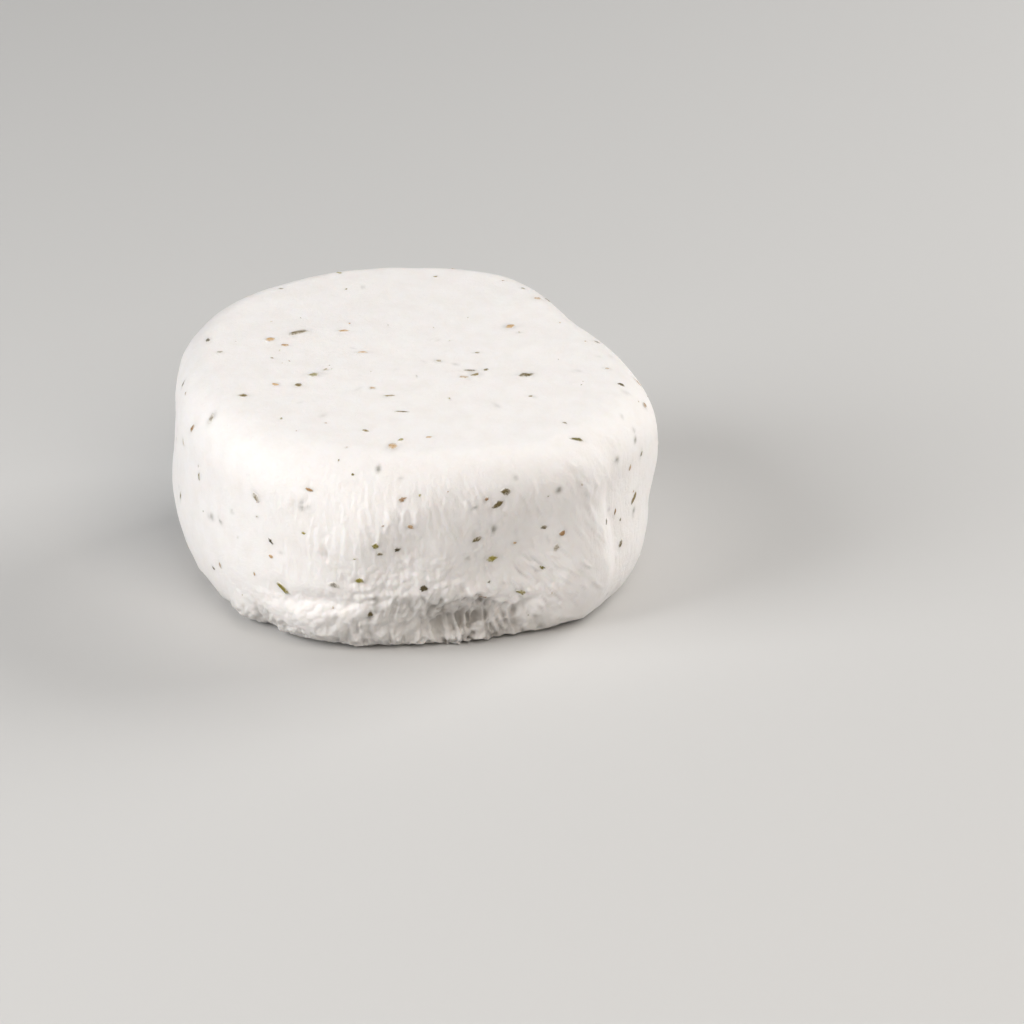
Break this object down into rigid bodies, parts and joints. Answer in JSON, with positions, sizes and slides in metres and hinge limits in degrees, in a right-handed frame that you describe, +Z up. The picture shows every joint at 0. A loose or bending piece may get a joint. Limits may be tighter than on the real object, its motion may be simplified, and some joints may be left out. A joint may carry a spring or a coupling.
{
  "type": "fresh goat cheese round with herbs",
  "caption": "Lopsided, hand-shaped drum of soft white goat cheese flecked with chopped herbs, with a leaning flat top and a torn foot, to stand on a plate or board.",
  "frame": {"origin": "middle of the bounding box's footprint, on the surface under the cheese", "axes": "+Z up, -Y is the front with the hollow and the upright ridge at its right, +X is the right"},
  "size_m": [0.143, 0.1456, 0.0685],
  "materials": {
    "curd": "moist white fresh curd, soft and slightly translucent, satin",
    "herb_leaf": "dark grey-green dried leaf, matte",
    "herb_stalk": "olive green chopped stalk, matte",
    "herb_husk": "tan brown dry husk, matte"
  },
  "bodies": {
    "root": {"cheese_round": "curd"}
  },
  "joints": []
}
